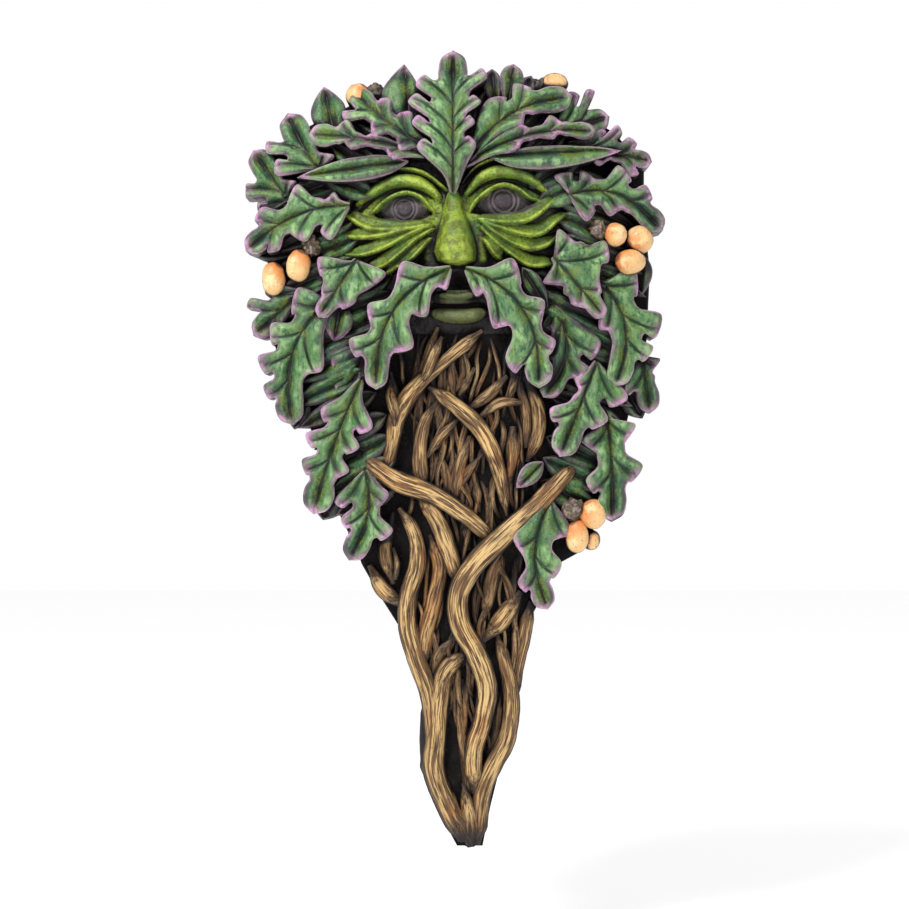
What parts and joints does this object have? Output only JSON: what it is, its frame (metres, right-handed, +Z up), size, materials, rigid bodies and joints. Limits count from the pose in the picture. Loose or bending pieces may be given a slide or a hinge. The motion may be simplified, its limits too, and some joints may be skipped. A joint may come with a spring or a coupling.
{
  "type": "green man wall plaque",
  "caption": "Foliate face wall plaque: oak leaves round a calm leafy face, with a beard of tangled roots tapering to a point, cast in one piece with a flat back.",
  "frame": {"origin": "on the flat back, on the middle line, level with the bridge of the nose", "axes": "+Z up the plaque, +X to the viewer's right, -Y out of the wall towards the viewer; the flat back is the plane Y = 0"},
  "size_m": [0.2106, 0.0542, 0.4008],
  "materials": {
    "painted_resin": "hand-painted filled casting resin, satin"
  },
  "bodies": {
    "root": {"green_man_plaque": "painted_resin"}
  },
  "joints": []
}
